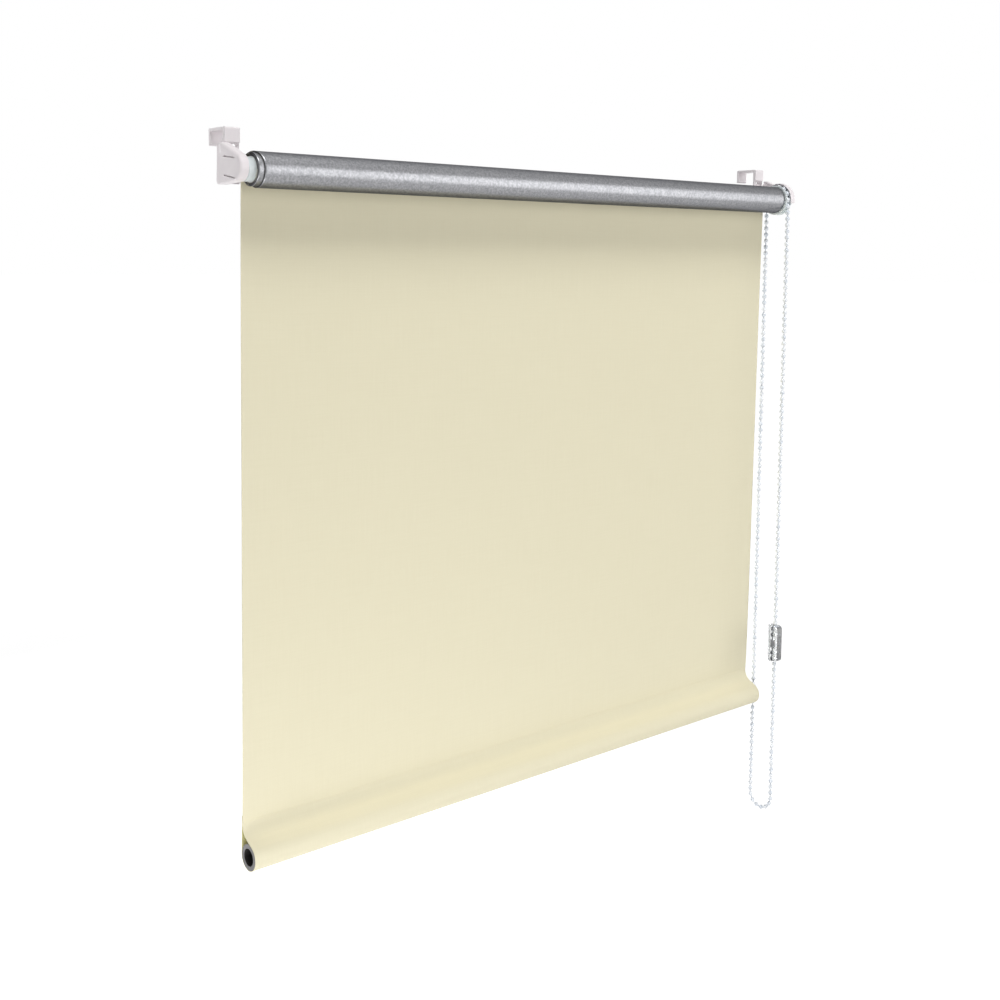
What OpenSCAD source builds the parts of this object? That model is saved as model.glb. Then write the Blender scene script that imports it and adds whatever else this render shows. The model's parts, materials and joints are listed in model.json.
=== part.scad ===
// Clip-on roller blind. Two hooks slip over the top edge of a window sash and carry a
// roller that a bead chain turns. The cloth is wound with its silver coated back outward,
// hangs from the window side of the roll and ends in a hem with a round bar in it.
// The origin is the centre of the left hook's seat. X runs to the chain side, Y points
// through the sash, and Z is up.

/* [Cloth] */
// Width of the cloth and of the roll
cloth_w = 570; // [300:10:1200]
// Thickness of the coated cloth
cloth_t = 0.42; // [0.36:0.02:0.5]
// Slack between one turn of the roll and the next
turn_gap = 0.03; // [0.02:0.01:0.05]
// Turns of cloth on the roll, counted over its top
turn_count = 8; // [4:1:9]
// Height of the sheet from the roll's axis to the hem seam
drop_length = 467; // [150:1:1000]
// How far the hem draws the sheet's lower edge toward the window
sheet_lean = 6.5; // [3:0.5:8]

/* [Roller] */
// Outer diameter of the tube
tube_d = 18; // [18:0.5:19]
// Wall of the tube
tube_wall = 1; // [0.8:0.1:1.2]
// Depth of the roller's axis below the hook seats
axis_drop = 28; // [28:0.5:34]
// Distance from the sash face to the roller's axis
axis_front = 26; // [25:0.5:34]

/* [Clip hooks] */
// Thickness of the sash that the hooks take
sash_t = 18; // [10:1:30]
// Width of each hook
hook_w = 12; // [10:0.5:12]
// Thickness of the hook's top and back leg
hook_t = 2; // [1.5:0.25:3]
// Diameter of the screw hole in each hook
hook_hole_d = 3.4; // [2.5:0.1:3.8]

/* [Brackets] */
// Wall of the bracket covers
cover_wall = 1.5; // [1.2:0.1:1.6]
// Depth of each cover across the end of the roll
cover_depth = 6.8; // [6.8:0.1:9]
// Thickness of the bracket side plates
plate_t = 2.3; // [2:0.1:2.3]

/* [Chain] */
// Diameter of a bead
bead_d = 4.5; // [4:0.1:4.6]
// Distance from one bead to the next
bead_pitch = 6; // [6:0.1:6.2]
// Diameter of the cord through the beads
cord_d = 1.2; // [0.8:0.1:1.6]
// Bead spaces in each straight strand
strand_pitches = 99; // [85:1:160]
// Bead spaces from the wheel's axis down to the last bead before the connector's gap
pitches_to_joint = 71; // [20:1:76]

/* [Hem] */
// Outer diameter of the hem bar
bar_d = 19; // [14:0.5:19]
// Wall of the hem bar
bar_wall = 1; // [0.8:0.1:1.4]
// Diameter of the recess in the hem bar's end caps
cap_recess_d = 12.8; // [6:0.2:13]

/* [Hidden] */
$fn = 64;

// Running, sliding and face clearances, and how far a cut runs past its face
run_gap = 0.05;
slip_gap = 0.15;
face_gap = 0.2;
past = 0.5;

// Places along and around the roller, measured from the left hook's seat
roll_left = 0.5;
roll_right = roll_left + cloth_w;
drive_room = 5.6;
mirror_x = roll_left + roll_right + drive_room;
sash_face = -sash_t / 2;
axis_y = sash_face - axis_front;
axis_z = -axis_drop;

// Roll of cloth and hanging sheet, from the roller's axis
tube_r = tube_d / 2;
tube_bore_r = tube_r - tube_wall;
first_turn_r = tube_r + run_gap;
turn_step = cloth_t + turn_gap;
roll_r = first_turn_r + (turn_count - 1) * turn_step + cloth_t;
sheet_y = roll_r - cloth_t / 2;
sheet_steps = 12;

// Clip hooks, from the hook's seat
front_leg_t = 3;
front_leg_end = -8.4;
back_leg_end = -10;
hook_corner_r = 1.2;
lead_in = 1;
tongue_t = 1.6;
tongue_end = axis_z - 9;
hole_x = 2;
hole_z = front_leg_end - 2.5;

// Brackets, from the roller's axis; the corners are [toward the window, up, radius]
plate_x = roll_left - 8;
plate_in_x = plate_x + plate_t;
cover_x = plate_in_x - cover_depth;
cover_corners = [[0.5, 1, 9.5], [axis_front - 6, 14, 5], [axis_front - 3, -7, 3]];
cover_round = 2;
round_steps = 3;
flange_t = 2.6;
flange_back = axis_front - tongue_t;
flange_front = flange_back - flange_t;
flange_low = -8;
flange_high = 13.5;
boss_r = 5;
boss_depth = 2.6;
groove_w = 1.2;
groove_depth = 0.8;
groove_len = 13.5;
groove_y = 9;
groove_places = [[8, 7], [-5.2, 9.5]];
band_y = axis_front - 6.5;
band_step = 0.5;

// Screws that hold the brackets to the hooks
screw_x = 3;
screw_z = -1;
screw_r = 1.4;
screw_head_r = 2.8;
screw_head_t = 1.6;
screw_slot = [3.6, 0.8, 0.7];

// Idle end
plug_r = tube_bore_r - run_gap;
plug_len = 24;
plug_collar_r = 8.5;
plug_collar_t = 5.3;
plug_wall = 1.5;
plug_end_x = roll_left + plug_len;
guide_end_x = roll_left + 4;
pin_r = 2.5;
pin_chamfer = 0.4;
pin_tip_x = plate_x - boss_depth + face_gap;
pin_chamber_r = 4.2;
pin_collar_r = pin_chamber_r - slip_gap;
pin_collar_x = guide_end_x + run_gap;
pin_collar_t = 2;
pin_tail_r = 1.5;
pin_tail_len = 4;
pin_spring_x = pin_collar_x + pin_collar_t + run_gap;
pin_spring_len = plug_end_x - plug_wall - run_gap - pin_spring_x;
pin_spring_r = 3.1;
pin_wire_r = 0.35;
pin_spring_turns = 8;

// Chain wheel and its brake
wheel_pockets = 13;
pocket_angle = 360 / wheel_pockets;
bead_r = bead_d / 2;
pitch_r = bead_pitch / 2 / sin(pocket_angle / 2);
pocket_r = bead_r + slip_gap;
drive_collar_r = 8.9;
drive_collar_t = 1.4;
wheel_w = 7.8;
wheel_x = roll_right + drive_collar_t + face_gap;
wheel_end_x = wheel_x + wheel_w;
chain_x = wheel_x + wheel_w / 2;
rim_rise = 1.5;
wheel_r = pitch_r + rim_rise;
groove_floor_r = pitch_r - cord_d / 2 - 0.3;
groove_half = bead_r + 0.1;
groove_flare = 0.4;
right_plate_x = mirror_x - plate_in_x;
core_r = 4.5;
core_disc_r = 7;
core_disc_x = wheel_end_x + face_gap;
core_key = 7;
barb_r = 5.3;
barb_tip_r = 3.8;
barb_len = 3.5;
shoulder_x = roll_right - 27.5;
shoulder_t = 2.5;
barb_x = shoulder_x - face_gap;
drive_len = 34;
drive_bore_r = 5.7;
dog_w = 3.8;
dog_low = 5.9;
dog_high = 7.7;
dog_len = 6;
brake_wire_r = 0.4;
brake_spring_r = core_r + brake_wire_r + 0.15;
brake_turns = 9;
brake_pitch = 1.05;
brake_starts = [roll_right - 23.5, roll_right - 12.5];
guard_clear = 0.6;
guard_wall = 0.8;
guard_in_r = pitch_r + bead_r + guard_clear;
guard_out_r = guard_in_r + guard_wall;
guard_t = 1.3;
guard_low = -3;
guard_pin_r = 1.2;
guard_pins = [[9, 7.5], [11.5, 0]];

// Bead chain and its connector, from the roller's axis
strand_len = strand_pitches * bead_pitch;
last_bead_z = -pitches_to_joint * bead_pitch;
missing_beads = 2;
joint_gap = (missing_beads + 1) * bead_pitch;
joint_z = last_bead_z - joint_gap / 2;
connector_w = 7.5;
connector_d = 12.5;
connector_h = 36;
connector_r = 1.5;
connector_nose = 5;
window_w = 5;
window_h = 8;
held_beads = [1, 2];
rib_count = 7;
rib_pitch = 4;
rib_cut = [1.6, 0.5];

// Hem, from the roller's axis
bar_r = bar_d / 2;
bar_offset = 8.5;
bar_drop = 23;
seam_h = 3;
hem_in_r = bar_r + 0.1;
hem_out_r = hem_in_r + cloth_t;
seam_y = sheet_y + sheet_lean;
bar_y = seam_y - bar_offset;
bar_z = -drop_length - bar_drop;
apex_d = norm([bar_offset, bar_drop]);
apex_angle = atan2(bar_drop, bar_offset);
inner_apex_d = apex_d - cloth_t * apex_d / hem_out_r;
hem_arc_steps = 40;
cap_flange_t = 0.8;
cap_len = 12;
cap_floor_t = 1.2;

plastic = "#f3eeec";
cream = "#ece5cb";
silver = "#b4b7b8";
steel = "#9aa0a4";
clear = "#dfe7e9";

// Moves its children to the roller's axis.
module at_axis() {
    translate([0, axis_y, axis_z]) children();
}

// Extrudes an outline drawn as [toward the window, up] from one X to another.
module x_extrude(from_x, to_x) {
    translate([from_x, 0, 0]) rotate([90, 0, 90]) linear_extrude(to_x - from_x) children();
}

// Turns a profile drawn as [radius, X] about the X axis.
module x_revolve() {
    rotate([0, 90, 0]) rotate_extrude() children();
}

// A cylinder along X.
module x_cylinder(from_x, to_x, r) {
    translate([from_x, 0, 0]) rotate([0, 90, 0]) cylinder(h = to_x - from_x, r = r);
}

// A cylinder along Y.
module y_cylinder(from_y, to_y, r) {
    translate([0, to_y, 0]) rotate([90, 0, 0]) cylinder(h = to_y - from_y, r = r);
}

// Reflects a left-hand bracket piece to the chain side.
module to_right() {
    translate([mirror_x, 0, 0]) mirror([1, 0, 0]) children();
}

function arc(centre, r, from_a, to_a, steps) = [
    for (i = [0 : steps])
        let (a = from_a + (to_a - from_a) * i / steps)
        centre + r * [cos(a), sin(a)]
];

// Share of its lean that the sheet has at a share of its height.
function lean_at(share) = 0.5 - sin(asin(1 - 2 * share) / 3);

// Wire wound along X, with a ring of points at each step of each turn.
module coil(start_x, r, wire_r, turns, pitch, steps = 20, sides = 6) {
    last = turns * steps;
    points = [
        for (i = [0 : last], j = [0 : sides - 1])
            let (a = 360 * i / steps)
            let (b = 360 * j / sides)
            let (ring_r = r + wire_r * cos(b))
            [start_x + wire_r + pitch * i / steps + wire_r * sin(b), ring_r * cos(a), ring_r * sin(a)]
    ];
    walls = [
        for (i = [0 : last - 1], j = [0 : sides - 1])
            let (k = (j + 1) % sides)
            [i * sides + j, i * sides + k, (i + 1) * sides + k, (i + 1) * sides + j]
    ];
    first_cap = [for (j = [sides - 1 : -1 : 0]) j];
    last_cap = [for (j = [0 : sides - 1]) last * sides + j];
    polyhedron(points, concat(walls, [first_cap, last_cap]));
}

// Hook over the sash, with a tongue down the room side that carries the bracket.
module clip_hook() {
    front = sash_face - front_leg_t;
    back = -sash_face + hook_t;
    tongue_front = sash_face - tongue_t;
    corner_z = hook_t - hook_corner_r;
    difference() {
        x_extrude(-hook_w / 2, hook_w / 2) polygon(concat(
            [[sash_face, 0], [sash_face, tongue_end], [tongue_front, tongue_end]],
            [[tongue_front, front_leg_end], [front, front_leg_end]],
            arc([front + hook_corner_r, corner_z], hook_corner_r, 180, 90, 4),
            arc([back - hook_corner_r, corner_z], hook_corner_r, 90, 0, 4),
            [[back, back_leg_end], [-sash_face + lead_in, back_leg_end]],
            [[-sash_face, back_leg_end + lead_in], [-sash_face, 0]]
        ));
        translate([hole_x, 0, hole_z])
            y_cylinder(tongue_front - past, sash_face + past, hook_hole_d / 2);
        translate([screw_x, 0, axis_z + screw_z])
            y_cylinder(tongue_front - past, sash_face + past, screw_r);
    }
}

module left_clip_hook() color(plastic) clip_hook();

module right_clip_hook() color(plastic) to_right() clip_hook();

// Outline shared by plate and cover, drawn in by an inset, between two X places.
module bracket_block(from_x, to_x, inset) {
    hull() for (c = cover_corners)
        translate([0, c.x, c.y]) x_cylinder(from_x, to_x, c.z - inset, $fn = 32);
}

// Side plate across the end of the roll, and the flange that is screwed to the hook.
module bracket_plate() {
    intersection() {
        bracket_block(plate_x, plate_in_x, cover_wall + slip_gap);
        translate([plate_x, -axis_front, -axis_front])
            cube([plate_t, axis_front + flange_back, 2 * axis_front]);
    }
    difference() {
        translate([plate_x, flange_front, flange_low])
            cube([hook_w / 2 - plate_x, flange_t, flange_high - flange_low]);
        translate([screw_x, 0, screw_z])
            y_cylinder(flange_front - past, flange_back + past, screw_r + run_gap);
    }
}

module left_bracket_base() color(plastic) at_axis() difference() {
    union() {
        bracket_plate();
        x_cylinder(plate_x - boss_depth, plate_x + past, boss_r);
    }
    x_cylinder(plate_x - boss_depth - past, plate_in_x + past, pin_r + run_gap);
}

module right_bracket_base() color(plastic) at_axis() difference() {
    to_right() bracket_plate();
    key_hole = core_key + 2 * run_gap;
    translate([right_plate_x - past, -key_hole / 2, -key_hole / 2])
        cube([plate_t + 2 * past, key_hole, key_hole]);
    for (p = guard_pins)
        translate([0, p.x, p.y])
            x_cylinder(right_plate_x - past, right_plate_x + plate_t + past, guard_pin_r + run_gap);
}

// Shell over a side plate, with a rounded outer edge, a lower band along its back, and
// two grooves across its face.
module bracket_cover() {
    wall_in_x = cover_x + cover_wall;
    difference() {
        hull() for (i = [0 : round_steps], c = cover_corners) {
            a = 90 * i / round_steps;
            translate([0, c.x, c.y])
                x_cylinder(cover_x + cover_round * (1 - sin(a)), plate_in_x,
                           c.z - cover_round * (1 - cos(a)), $fn = 32);
        }
        bracket_block(wall_in_x, plate_in_x + past, cover_wall);
        translate([wall_in_x, flange_front - slip_gap, -axis_front])
            cube([cover_depth, axis_front, 2 * axis_front]);
        translate([cover_x - past, band_y, -axis_front])
            cube([past + band_step, axis_front, 2 * axis_front]);
        for (g = groove_places)
            translate([cover_x - past, groove_y, g.x]) rotate([g.y, 0, 0])
                translate([0, -groove_len / 2, -groove_w / 2])
                    cube([past + groove_depth, groove_len, groove_w]);
    }
}

module left_bracket_cover() color(plastic) at_axis() bracket_cover();

module right_bracket_cover() color(plastic) at_axis() to_right() bracket_cover();

// Slotted screw from the flange into the hook's tongue.
module bracket_screw() {
    head_y = flange_front - screw_head_t;
    translate([screw_x, 0, screw_z]) difference() {
        union() {
            y_cylinder(head_y, flange_front, screw_head_r);
            y_cylinder(flange_front - past, axis_front - face_gap, screw_r - run_gap);
        }
        translate([-screw_slot.x / 2, head_y - past, -screw_slot.y / 2])
            cube([screw_slot.x, past + screw_slot.z, screw_slot.y]);
    }
}

module bracket_screws() color(steel) at_axis() {
    bracket_screw();
    to_right() bracket_screw();
}

// Half plate on the right base with a lip that keeps the beads on the wheel.
module chain_guard() color(plastic) at_axis() {
    guard_x = right_plate_x - guard_t;
    x_extrude(guard_x, right_plate_x) upper_ring(core_disc_r + slip_gap, guard_out_r);
    x_extrude(chain_x + face_gap, guard_x + past) upper_ring(guard_in_r, guard_out_r);
    for (p = guard_pins)
        translate([0, p.x, p.y])
            x_cylinder(guard_x + past, right_plate_x + plate_t, guard_pin_r);
}

// The part of a flat ring that lies above the guard's lower edge.
module upper_ring(in_r, out_r) {
    intersection() {
        difference() {
            circle(out_r);
            circle(in_r);
        }
        translate([-2 * out_r, guard_low]) square([4 * out_r, 2 * out_r]);
    }
}

// Fixed axle that the wheel and the drive plug turn on, keyed into the right base, with
// a barbed end that snaps behind the plug's shoulder.
module brake_core() color(plastic) at_axis() {
    x_revolve() polygon([
        [0, barb_x - barb_len], [barb_tip_r, barb_x - barb_len], [barb_r, barb_x],
        [core_r, barb_x], [core_r, core_disc_x], [core_disc_r, core_disc_x],
        [core_disc_r, right_plate_x], [0, right_plate_x]
    ]);
    translate([right_plate_x - past, -core_key / 2, -core_key / 2])
        cube([past + plate_t, core_key, core_key]);
}

module brake_springs() color(steel) at_axis() {
    for (x = brake_starts)
        coil(x, brake_spring_r, brake_wire_r, brake_turns, brake_pitch);
}

module roller_tube() color("#c9cccd") at_axis() difference() {
    x_cylinder(roll_left, roll_right, tube_r);
    x_cylinder(roll_left - past, roll_right + past, tube_bore_r);
}

// Half a turn of cloth, above or below the roller's axis.
module half_turn(centre_y, in_r, upper) {
    reach = 2 * roll_r;
    intersection() {
        translate([centre_y, 0]) difference() {
            circle(in_r + cloth_t);
            circle(in_r);
        }
        translate([-reach, upper ? 0 : -reach]) square([2 * reach, reach]);
    }
}

// The wound cloth is one strip: half turns about the axis above it, and about a centre
// half a step to the front below it, run into each other as a spiral.
module fabric_roll() color(silver) at_axis() x_extrude(roll_left, roll_right) {
    for (k = [0 : turn_count - 1])
        half_turn(0, first_turn_r + k * turn_step, true);
    for (k = [1 : turn_count - 1])
        half_turn(-turn_step / 2, first_turn_r + (k - 0.5) * turn_step, false);
}

module idle_end_plug() color(plastic) at_axis() x_revolve() polygon([
    [pin_r + run_gap, roll_left - plug_collar_t], [plug_collar_r, roll_left - plug_collar_t],
    [plug_collar_r, roll_left], [plug_r, roll_left], [plug_r, plug_end_x], [0, plug_end_x],
    [0, plug_end_x - plug_wall], [pin_chamber_r, plug_end_x - plug_wall],
    [pin_chamber_r, guide_end_x], [pin_r + run_gap, guide_end_x]
]);

module idle_pin() color(steel) at_axis() {
    collar_end_x = pin_collar_x + pin_collar_t;
    x_revolve() polygon([
        [0, pin_tip_x], [pin_r - pin_chamfer, pin_tip_x], [pin_r, pin_tip_x + pin_chamfer],
        [pin_r, pin_collar_x], [pin_collar_r, pin_collar_x], [pin_collar_r, collar_end_x],
        [pin_tail_r, collar_end_x], [pin_tail_r, collar_end_x + pin_tail_len],
        [0, collar_end_x + pin_tail_len]
    ]);
}

module idle_pin_spring() color(steel) at_axis() {
    pitch = (pin_spring_len - 2 * pin_wire_r) / pin_spring_turns;
    coil(pin_spring_x, pin_spring_r, pin_wire_r, pin_spring_turns, pitch);
}

// Plug in the tube's chain end: it houses the brake springs, and its slots take the
// wheel's dogs.
module drive_plug() color(plastic) at_axis() difference() {
    x_revolve() polygon([
        [drive_bore_r, roll_right - drive_len], [plug_r, roll_right - drive_len],
        [plug_r, roll_right], [drive_collar_r, roll_right],
        [drive_collar_r, roll_right + drive_collar_t], [drive_bore_r, roll_right + drive_collar_t],
        [drive_bore_r, shoulder_x + shoulder_t], [core_r + run_gap, shoulder_x + shoulder_t],
        [core_r + run_gap, shoulder_x], [drive_bore_r, shoulder_x]
    ]);
    slot_w = dog_w + 2 * slip_gap;
    translate([roll_right - dog_len - face_gap, -slot_w / 2, -tube_r])
        cube([dog_len + 2, slot_w, 2 * tube_r]);
}

// Wheel with a pocket for each bead, and two dogs that turn the drive plug.
module chain_wheel() color(plastic) at_axis() {
    difference() {
        x_revolve() polygon([
            [core_r + run_gap, wheel_x], [wheel_r, wheel_x],
            [wheel_r, chain_x - groove_half - groove_flare], [groove_floor_r, chain_x - groove_half],
            [groove_floor_r, chain_x + groove_half], [wheel_r, chain_x + groove_half + groove_flare],
            [wheel_r, wheel_end_x], [core_r + run_gap, wheel_end_x]
        ]);
        for (j = [0 : wheel_pockets - 1])
            rotate([180 - j * pocket_angle, 0, 0])
                translate([chain_x, pitch_r, 0]) sphere(pocket_r);
    }
    for (side = [0, 180])
        rotate([side, 0, 0]) translate([roll_right - dog_len, -dog_w / 2, dog_low])
            cube([dog_len + wheel_x - roll_right + past, dog_w, dog_high - dog_low]);
}

// The hanging sheet, from the roll's back to the hem seam.
module fabric_drop() color(cream) at_axis() x_extrude(roll_left, roll_right) {
    middle = [
        for (i = [0 : sheet_steps])
            let (share = (1 - cos(180 * i / sheet_steps)) / 2)
            [sheet_y + sheet_lean * lean_at(share), -drop_length * share]
    ];
    half = [cloth_t / 2, 0];
    polygon(concat(
        [for (i = [0 : sheet_steps]) middle[i] - half],
        [for (i = [sheet_steps : -1 : 0]) middle[i] + half]
    ));
}

// Drop-shaped outline around the bar, up to a point at the seam.
module hem_outline(r, apex) {
    side = acos(r / apex);
    centre = [bar_y, bar_z];
    polygon(concat(
        arc(centre, r, apex_angle + side, apex_angle - side + 360, hem_arc_steps),
        [centre + apex * [cos(apex_angle), sin(apex_angle)]]
    ));
}

module hem_pocket() color(cream) at_axis() x_extrude(roll_left, roll_right) difference() {
    union() {
        hem_outline(hem_out_r, apex_d);
        translate([seam_y - cloth_t, -drop_length - seam_h]) square([2 * cloth_t, seam_h]);
    }
    hem_outline(hem_in_r, inner_apex_d);
}

module hem_bar() color(steel) at_axis() translate([0, bar_y, bar_z]) difference() {
    x_cylinder(roll_left + cap_flange_t, roll_right - cap_flange_t, bar_r);
    x_cylinder(roll_left, roll_right, bar_r - bar_wall);
}

// Plug with a deep recess in each end of the hem bar.
module hem_cap() {
    x_revolve() polygon([
        [0, cap_len], [bar_r - bar_wall - run_gap, cap_len],
        [bar_r - bar_wall - run_gap, cap_flange_t], [bar_r, cap_flange_t], [bar_r, 0],
        [cap_recess_d / 2, 0], [cap_recess_d / 2, cap_len - cap_floor_t], [0, cap_len - cap_floor_t]
    ]);
}

module left_hem_cap() color("#8f8c86") at_axis() translate([roll_left, bar_y, bar_z]) hem_cap();

module right_hem_cap() color("#8f8c86") at_axis() translate([roll_right, bar_y, bar_z])
    mirror([1, 0, 0]) hem_cap();

// Places of the beads, as [toward the window, up] from the roller's axis.
front_beads = [
    for (k = [0 : strand_pitches])
        if (k <= pitches_to_joint || k > pitches_to_joint + missing_beads)
            [-pitch_r, -k * bead_pitch]
];
back_beads = [for (k = [0 : strand_pitches - 1]) [pitch_r, -(k + 0.5) * bead_pitch]];
top_beads = [
    for (j = [1 : (wheel_pockets - 1) / 2])
        pitch_r * [-cos(j * pocket_angle), sin(j * pocket_angle)]
];
bottom_beads = [for (b = top_beads) [b.x, -strand_len - b.y]];

// Endless loop of beads on a cord, open inside the connector.
module bead_chain() color("#eef3f6") at_axis() translate([chain_x, 0, 0]) {
    for (b = concat(front_beads, top_beads, back_beads, bottom_beads))
        translate([0, b.x, b.y]) sphere(bead_r);
    translate([0, -pitch_r, last_bead_z]) cylinder(d = cord_d, h = -last_bead_z);
    translate([0, -pitch_r, -strand_len]) cylinder(d = cord_d, h = strand_len + last_bead_z - joint_gap);
    translate([0, pitch_r, -strand_len]) cylinder(d = cord_d, h = strand_len);
    half_loop();
    translate([0, 0, -strand_len]) mirror([0, 0, 1]) half_loop();
}

// Half a turn of the chain's cord, over the top.
module half_loop() {
    rotate([90, 0, 90]) rotate_extrude(angle = 180) translate([pitch_r, 0]) circle(d = cord_d);
}

// Clear clip with a rounded front, which holds two beads at each end of the chain; they are
// pushed in from its left face.
module chain_connector() color(clear) at_axis() translate([chain_x, -pitch_r, joint_z]) {
    pocket = bead_r + slip_gap;
    left = -connector_w / 2 - past;
    channel = cord_d + 2 * slip_gap;
    corner = [connector_w / 2 - connector_r, connector_d / 2 - connector_r];
    nose_y = connector_nose - connector_d / 2;
    nose_z = connector_h / 2 - connector_nose;
    difference() {
        intersection() {
            linear_extrude(2 * connector_h, center = true) polygon(concat(
                arc(corner, connector_r, 0, 90, 4),
                arc([-corner.x, corner.y], connector_r, 90, 180, 4),
                arc(-corner, connector_r, 180, 270, 4),
                arc([corner.x, -corner.y], connector_r, 270, 360, 4)
            ));
            x_extrude(-connector_w, connector_w) polygon(concat(
                arc([nose_y, nose_z], connector_nose, 90, 180, 6),
                arc([nose_y, -nose_z], connector_nose, 180, 270, 6),
                [[connector_d, -connector_h / 2], [connector_d, connector_h / 2]]
            ));
        }
        for (end = [-1, 1], k = held_beads)
            translate([0, 0, end * (k + missing_beads / 2 - 0.5) * bead_pitch])
                x_cylinder(left, pocket, pocket);
        translate([left, -channel / 2, -connector_h / 2 - past])
            cube([channel / 2 - left, channel, connector_h + 2 * past]);
        translate([left, -window_w / 2, -window_h / 2])
            cube([connector_w + 2 * past, window_w, window_h]);
        for (i = [0 : rib_count - 1])
            translate([left, -connector_d / 2 - past, (i - (rib_count - 1) / 2) * rib_pitch - rib_cut.x / 2])
                cube([connector_w + 2 * past, past + rib_cut.y, rib_cut.x]);
    }
}

left_clip_hook();
right_clip_hook();
left_bracket_base();
right_bracket_base();
left_bracket_cover();
right_bracket_cover();
bracket_screws();
chain_guard();
brake_core();
brake_springs();
roller_tube();
fabric_roll();
idle_end_plug();
idle_pin();
idle_pin_spring();
drive_plug();
chain_wheel();
fabric_drop();
hem_pocket();
hem_bar();
left_hem_cap();
right_hem_cap();
bead_chain();
chain_connector();
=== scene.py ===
import json
import math
import bmesh
import bpy
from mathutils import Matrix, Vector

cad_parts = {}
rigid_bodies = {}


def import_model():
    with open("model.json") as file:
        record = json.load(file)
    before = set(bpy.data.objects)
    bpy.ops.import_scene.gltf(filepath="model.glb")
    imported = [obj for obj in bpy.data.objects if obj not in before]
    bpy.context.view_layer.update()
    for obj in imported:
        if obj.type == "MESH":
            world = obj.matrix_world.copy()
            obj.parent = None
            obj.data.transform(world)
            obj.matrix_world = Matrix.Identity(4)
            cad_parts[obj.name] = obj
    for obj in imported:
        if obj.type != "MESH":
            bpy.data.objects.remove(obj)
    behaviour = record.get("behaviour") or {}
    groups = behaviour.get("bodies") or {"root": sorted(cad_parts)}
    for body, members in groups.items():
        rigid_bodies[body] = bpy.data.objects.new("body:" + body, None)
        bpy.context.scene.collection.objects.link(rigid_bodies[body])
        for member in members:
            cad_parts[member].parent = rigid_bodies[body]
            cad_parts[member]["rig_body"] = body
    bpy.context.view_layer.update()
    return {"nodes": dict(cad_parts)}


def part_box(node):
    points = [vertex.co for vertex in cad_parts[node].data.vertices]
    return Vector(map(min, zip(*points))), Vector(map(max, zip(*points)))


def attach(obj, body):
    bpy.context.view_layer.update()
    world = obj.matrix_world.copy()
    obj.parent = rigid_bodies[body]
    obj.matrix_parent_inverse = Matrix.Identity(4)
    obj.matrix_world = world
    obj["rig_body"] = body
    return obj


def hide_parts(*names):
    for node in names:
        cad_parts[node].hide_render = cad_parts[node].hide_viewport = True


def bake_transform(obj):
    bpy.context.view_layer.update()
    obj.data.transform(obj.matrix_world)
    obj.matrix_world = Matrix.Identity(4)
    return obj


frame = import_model()
scene = bpy.context.scene
scene.view_settings.view_transform = "Standard"


# Camera. The blind is seen from its left end, about 40 degrees off the cloth's face, from just
# below the roll and a little downward. The lens is shifted, so upright edges stay nearly upright.
focal_pixels = 1297.1
picture_pixels = 1000
lens_shift = -0.12
camera_place = (-0.4480, -0.8225, -0.0872)
camera_yaw = 40.49
camera_pitch = -5.32
camera_roll = -0.55

photo_lens = bpy.data.cameras.new("photo_camera")
photo_lens.sensor_width = 36
photo_lens.lens = focal_pixels * photo_lens.sensor_width / picture_pixels
photo_lens.shift_y = lens_shift
photo_camera = bpy.data.objects.new("photo_camera", photo_lens)
photo_camera.location = camera_place
photo_camera.rotation_euler = (
    math.radians(90 + camera_pitch), math.radians(camera_roll), math.radians(-camera_yaw))
scene.collection.objects.link(photo_camera)
scene.camera = photo_camera


# Studio. A pale floor lies well below the lowest place of the hem and runs out into a white
# surround. A tall soft box stands in front on the right, where the roll mirrors it, one hangs
# overhead, a low one lifts the foot of the cloth, a small one lights the ends on the left, and
# one behind lights the back, out of sight of the front.
floor_z = -1.06
floor_half = 60
floor_glow_near, floor_glow_far = 0.70, 1.0
floor_glow_start, floor_glow_end = 1.5, 4
ambient = 0.03


def link(tree, source, target):
    tree.links.new(source, target)


def new_finish(name, **constants):
    """A material with its shader's constant sockets set, its node tree and its shader."""
    material = bpy.data.materials.new(name)
    material.use_nodes = True
    shader = material.node_tree.nodes["Principled BSDF"]
    for socket, value in constants.items():
        shader.inputs[socket.replace("_", " ")].default_value = value
    return material, material.node_tree, shader


def object_place(tree):
    return tree.nodes.new("ShaderNodeTexCoord").outputs["Object"]


def combined(tree, operation, first, second):
    """One value from two others."""
    node = tree.nodes.new("ShaderNodeMath")
    node.operation = operation
    link(tree, first, node.inputs[0])
    link(tree, second, node.inputs[1])
    return node.outputs[0]


def spread(tree, value, low, high, from_low=0.3, from_high=0.7):
    """Spreads a value between two ends, as a number."""
    node = tree.nodes.new("ShaderNodeMapRange")
    node.inputs["From Min"].default_value = from_low
    node.inputs["From Max"].default_value = from_high
    node.inputs["To Min"].default_value = low
    node.inputs["To Max"].default_value = high
    link(tree, value, node.inputs["Value"])
    return node.outputs[0]


def seen_directly(tree):
    """1 for rays from the camera, off gloss and through clear parts, 0 for the rest."""
    rays = tree.nodes.new("ShaderNodeLightPath").outputs
    plain = combined(tree, "MAXIMUM", rays["Is Camera Ray"], rays["Is Glossy Ray"])
    return combined(tree, "MAXIMUM", plain, rays["Is Transmission Ray"])


surround = bpy.data.worlds.new("white_surround")
surround.use_nodes = True
scene.world = surround
surround_tree = surround.node_tree
surround_light = surround_tree.nodes["Background"]
surround_light.inputs["Color"].default_value = (1, 1, 1, 1)
surround_level = spread(
    surround_tree, seen_directly(surround_tree), ambient, 1, from_low=0, from_high=1)
link(surround_tree, surround_level, surround_light.inputs["Strength"])

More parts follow.
